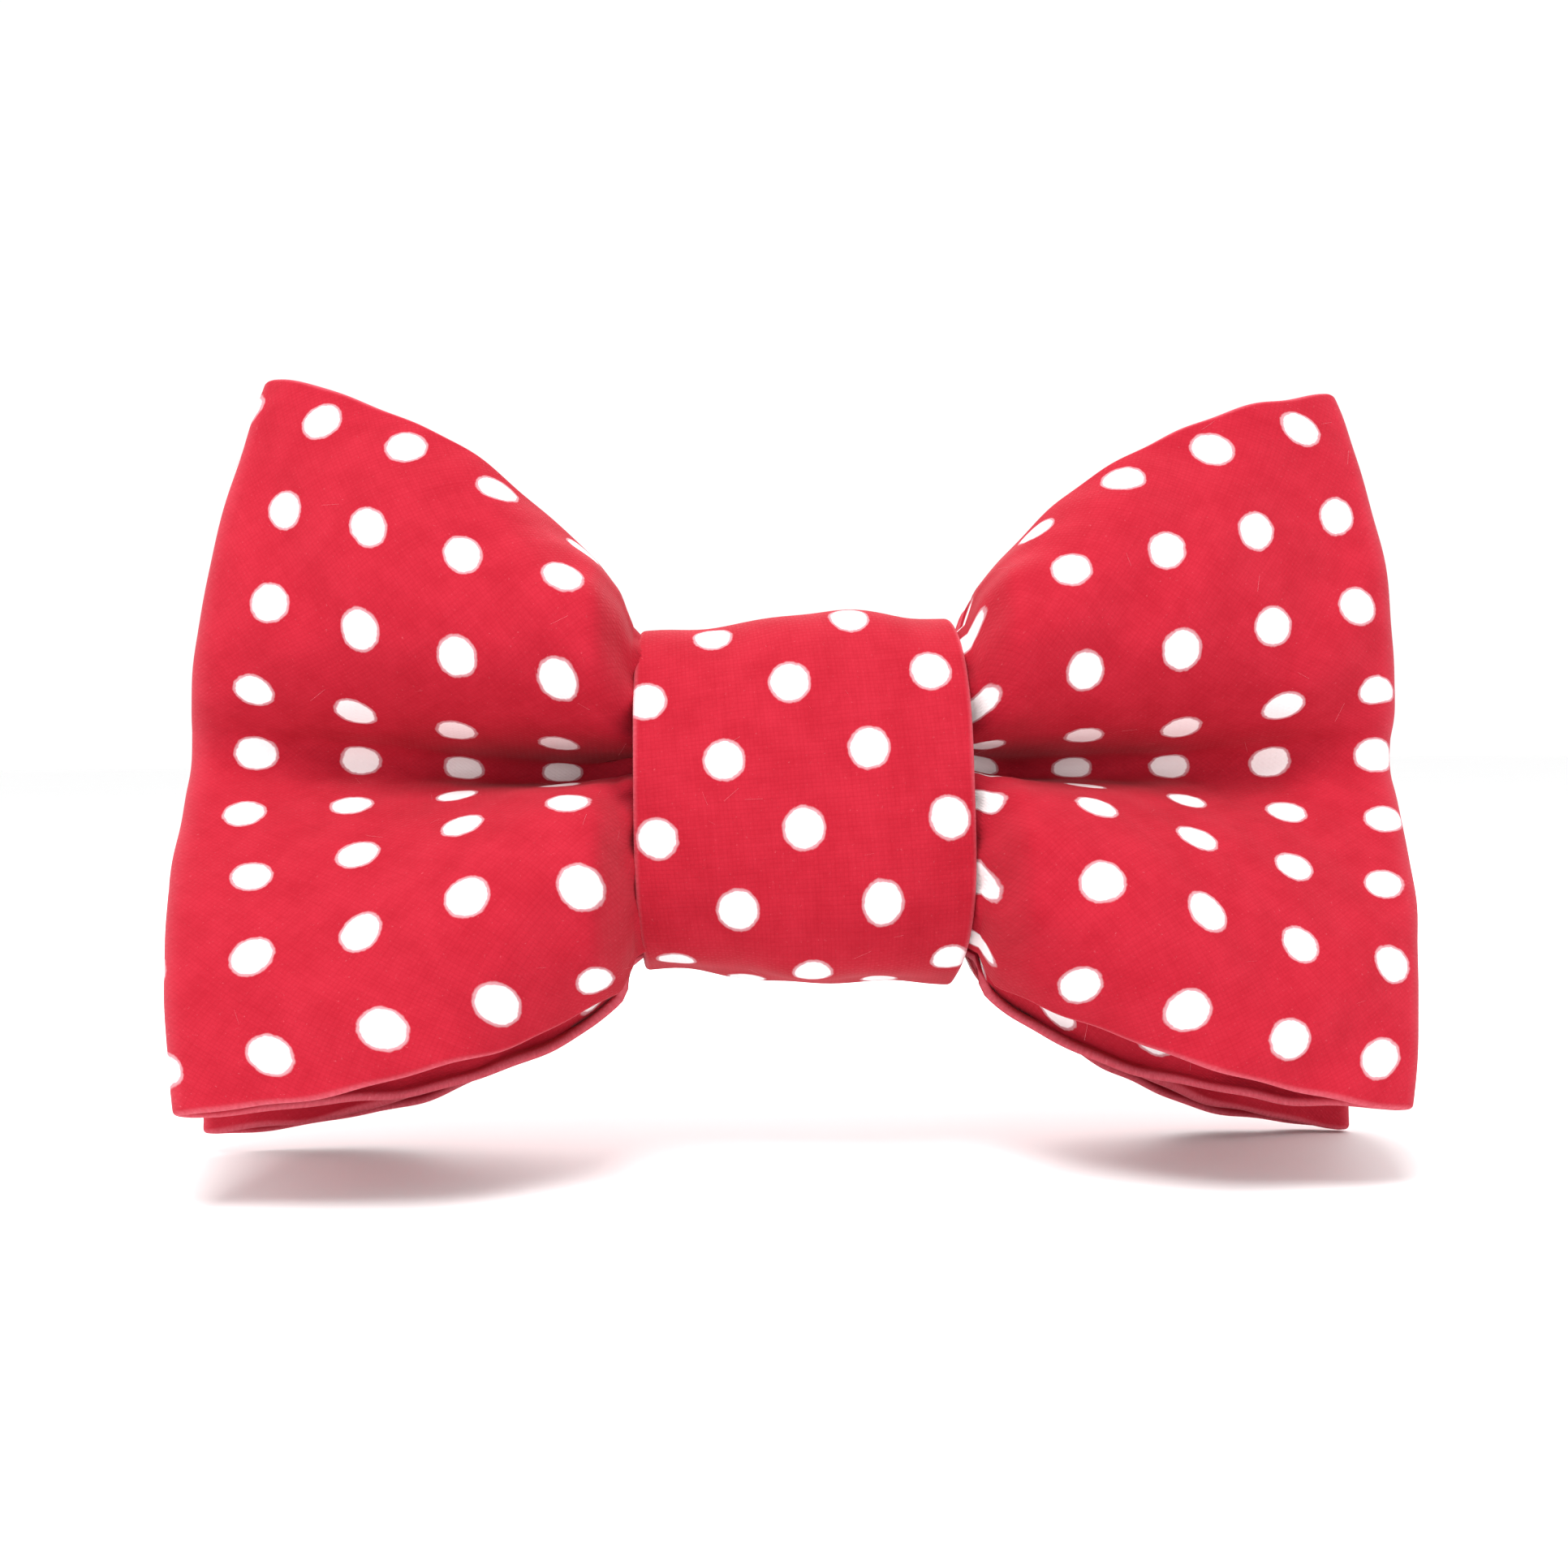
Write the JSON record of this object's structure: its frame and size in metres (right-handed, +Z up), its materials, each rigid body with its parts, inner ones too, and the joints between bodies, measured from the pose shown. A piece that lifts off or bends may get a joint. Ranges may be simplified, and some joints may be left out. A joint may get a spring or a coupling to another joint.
{
  "type": "bow tie",
  "caption": "Pre-tied double bow tie in spotted cotton with a centre wrap and a sprung two-jaw steel clip at the back.",
  "frame": {"origin": "under the middle of the standing tie, on the surface it stands on", "axes": "+X across the tie to the viewer's right, -Y the way it faces, +Z up"},
  "size_m": [0.1234, 0.0424, 0.0791],
  "materials": {
    "printed_cotton": "plain-weave red cotton poplin with white printed spots",
    "interfacing": "off-white woven stiffener",
    "thread": "red sewing thread",
    "nickel_plate": "nickel-plated stamped steel",
    "spring_steel": "drawn spring wire",
    "black_nylon": "moulded ribbed insert"
  },
  "bodies": {
    "tie": {"front_bow_band": "printed_cotton", "front_bow_interfacing": "interfacing", "rear_bow_band": "printed_cotton", "rear_bow_interfacing": "interfacing", "gather_thread": "thread", "wrap_interfacing": "interfacing", "centre_wrap": "printed_cotton", "wrap_closing_stitch": "thread", "clip_plate": "nickel_plate", "left_hinge_pin": "nickel_plate", "left_spring": "spring_steel", "right_hinge_pin": "nickel_plate", "right_spring": "spring_steel"},
    "left_jaw": {"left_jaw": "nickel_plate", "left_grip_insert": "black_nylon"},
    "right_jaw": {"right_jaw": "nickel_plate", "right_grip_insert": "black_nylon"}
  },
  "joints": [
    {"name": "left_jaw_hinge", "type": "hinge", "parent": "tie", "child": "left_jaw", "pos_m": [-0.023, 0.00808, 0.03308], "axis": [0, -0.2419, -0.9703], "range_deg": [0, 20], "stiffness_Nm_per_rad": 0.01, "springref_deg": -28.65, "deforming": ["left_spring"]},
    {"name": "right_jaw_hinge", "type": "hinge", "parent": "tie", "child": "right_jaw", "pos_m": [0.023, 0.00808, 0.03308], "axis": [0, 0.2419, 0.9703], "range_deg": [0, 20], "stiffness_Nm_per_rad": 0.01, "springref_deg": -28.65, "deforming": ["right_spring"]}
  ]
}
